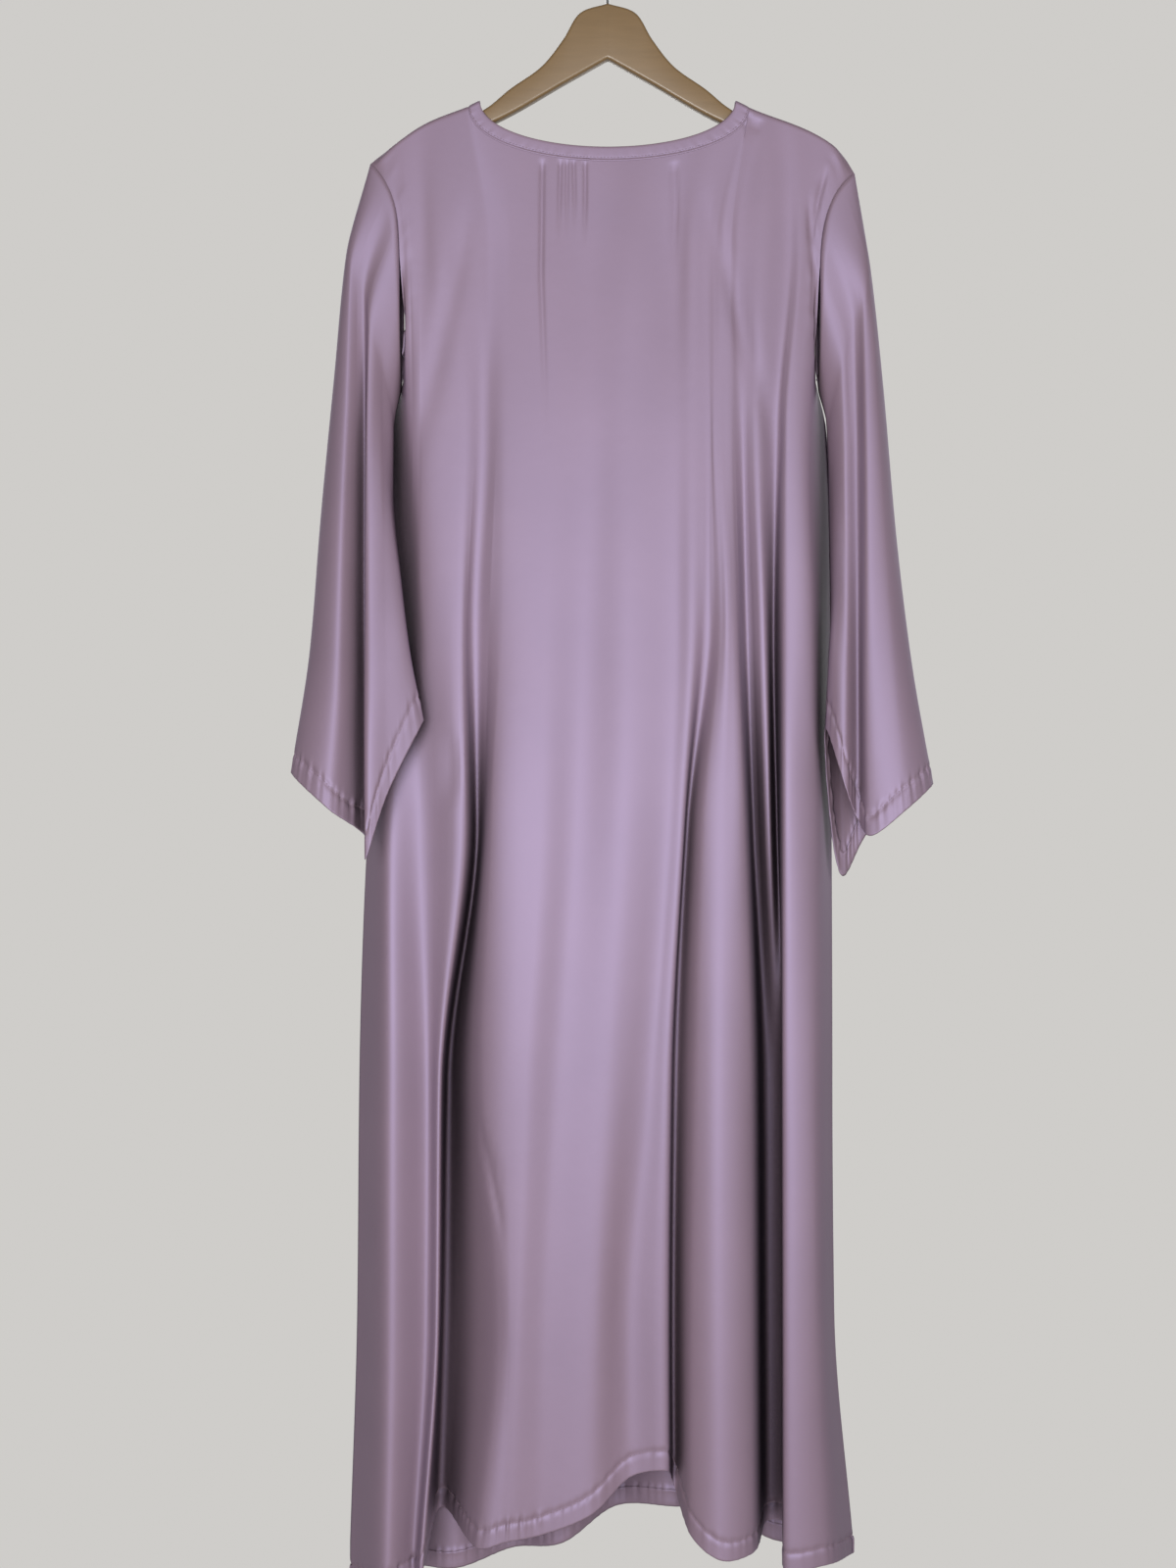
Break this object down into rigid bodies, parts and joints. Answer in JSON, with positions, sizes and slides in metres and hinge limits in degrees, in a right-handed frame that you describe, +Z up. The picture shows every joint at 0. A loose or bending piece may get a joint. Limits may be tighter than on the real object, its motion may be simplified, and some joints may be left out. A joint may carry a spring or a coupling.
{
  "type": "abaya on hanger",
  "caption": "Long-sleeved loose satin abaya with a round banded neck, hanging in deep vertical folds on a flat wooden hanger with a wire hook.",
  "frame": {"origin": "inside top of the hook, where a rod or wall hook carries it", "axes": "+Z up, +X to the right of the garment seen from the front, the front faces -Y"},
  "size_m": [0.589, 0.1497, 1.5614],
  "materials": {
    "satin": "mauve satin with a soft sheen",
    "wood": "brown lacquer, semi-gloss",
    "chrome": "polished"
  },
  "bodies": {
    "root": {"front_panel": "satin", "back_panel": "satin", "sleeve_left": "satin", "sleeve_right": "satin", "neck_band_front": "satin", "neck_band_back": "satin", "hanger_board": "wood", "hook_wire": "chrome"}
  },
  "joints": []
}
